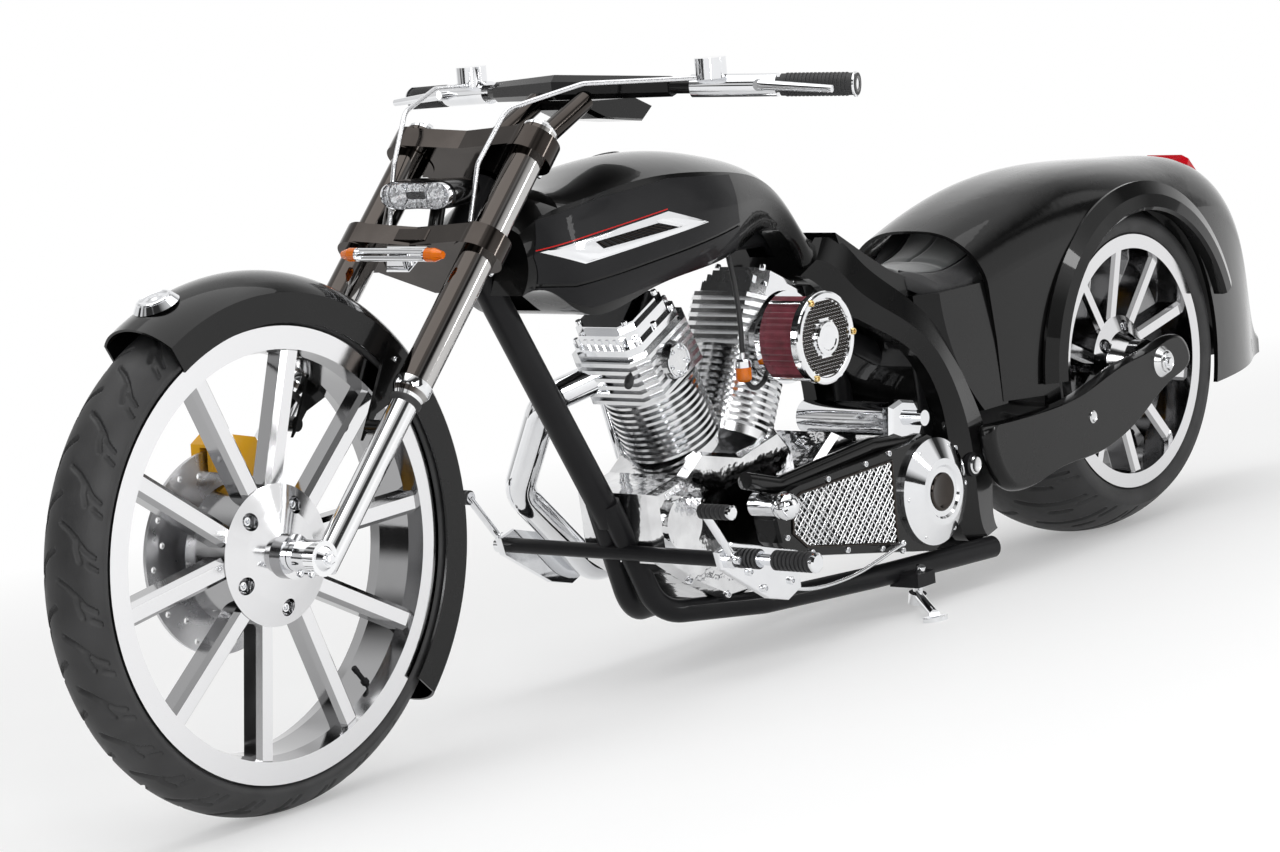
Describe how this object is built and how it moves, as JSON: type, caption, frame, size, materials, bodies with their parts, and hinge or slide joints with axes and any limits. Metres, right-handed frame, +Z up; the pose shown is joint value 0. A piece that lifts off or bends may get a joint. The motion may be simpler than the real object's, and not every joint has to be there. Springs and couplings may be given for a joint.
{
  "type": "chopper motorcycle",
  "caption": "Long low chopper on its side stand: V-twin, single downtube, raked fork, tall front wheel, fat rear tyre under a boat-tailed fender, steering and rolling wheels.",
  "frame": {"origin": "on the floor, below the middle of the machine's box", "axes": "+X forward, +Y to the rider's left, +Z up; the machine leans to +Y on its side stand"},
  "size_m": [3.264, 0.9716, 1.0806],
  "materials": {
    "black_gloss": "gloss paint under clear lacquer",
    "black_satin": "satin powder coat",
    "chrome": "mirror chrome",
    "polished_alu": "polished",
    "brushed_steel": "brushed",
    "tyre": "matt rubber",
    "rubber": "matt",
    "leather": "soft grain",
    "lens_clear": "clear",
    "lens_amber": "amber",
    "lens_red": "red",
    "filter_red": "pleated gauze",
    "caliper_yellow": "gloss",
    "cable_sleeve": "clear sleeve over braid"
  },
  "bodies": {
    "frame": {"air_filter": "filter_red", "air_filter_rings": "chrome", "body_panels": "black_gloss", "carburettor": "polished_alu", "control_tube": "black_satin", "crankcase": "polished_alu", "cylinder_front": "polished_alu", "cylinder_heads": "polished_alu", "cylinder_rear": "polished_alu", "exhaust": "chrome", "frame": "black_satin", "fuel_tank": "black_gloss", "left_controls": "chrome", "primary_cap": "chrome", "primary_cover": "black_gloss", "primary_mesh": "chrome", "primary_nose": "chrome", "pushrods": "chrome", "rear_axle": "polished_alu", "rear_caliper": "caliper_yellow", "rear_fender": "black_gloss", "right_controls": "chrome", "rocker_boxes": "chrome", "seat": "leather", "seat_base": "black_gloss", "starter": "chrome", "swingarm": "black_gloss", "tail_light": "lens_red", "tank_panels": "black_satin", "tank_trims": "chrome", "transmission": "chrome"},
    "fork": {"triple_clamps": "black_gloss", "fork_left": "chrome", "fork_right": "chrome", "risers": "black_gloss", "handlebar": "black_gloss", "grips": "rubber", "bar_controls": "chrome", "gauge_pod": "black_gloss", "headlight_housing": "black_gloss", "headlight_lens": "lens_clear", "signal_bar": "chrome", "turn_signals": "lens_amber", "front_fender": "black_gloss", "fender_struts": "black_gloss", "fender_badge": "chrome", "front_axle": "chrome", "front_caliper": "caliper_yellow", "cables": "cable_sleeve"},
    "front_wheel": {"front_tyre": "tyre", "front_rim": "chrome", "front_rotor": "brushed_steel"},
    "rear_wheel": {"rear_tyre": "tyre", "rear_rim": "chrome", "rear_rotor": "brushed_steel"},
    "side_stand": {"side_stand": "chrome"}
  },
  "joints": [
    {"name": "steering", "type": "hinge", "parent": "frame", "child": "fork", "pos_m": [0.62387, -0.01192, 0.89282], "axis": [-0.7009, 0.0869, 0.7079], "range_deg": [-24, 24]},
    {"name": "front_wheel_spin", "type": "hinge", "parent": "fork", "child": "front_wheel", "pos_m": [1.234, -0.07298, 0.39553], "axis": [0, 0.9925, -0.1219], "continuous": true},
    {"name": "rear_wheel_spin", "type": "hinge", "parent": "frame", "child": "rear_wheel", "pos_m": [-0.992, -0.08052, 0.33414], "axis": [0, 0.9925, -0.1219], "continuous": true},
    {"name": "stand_fold", "type": "hinge", "parent": "frame", "child": "side_stand", "pos_m": [-0.177, 0.08274, 0.05552], "axis": [0.0441, 0.3608, 0.9316], "range_deg": [0, 125]}
  ]
}
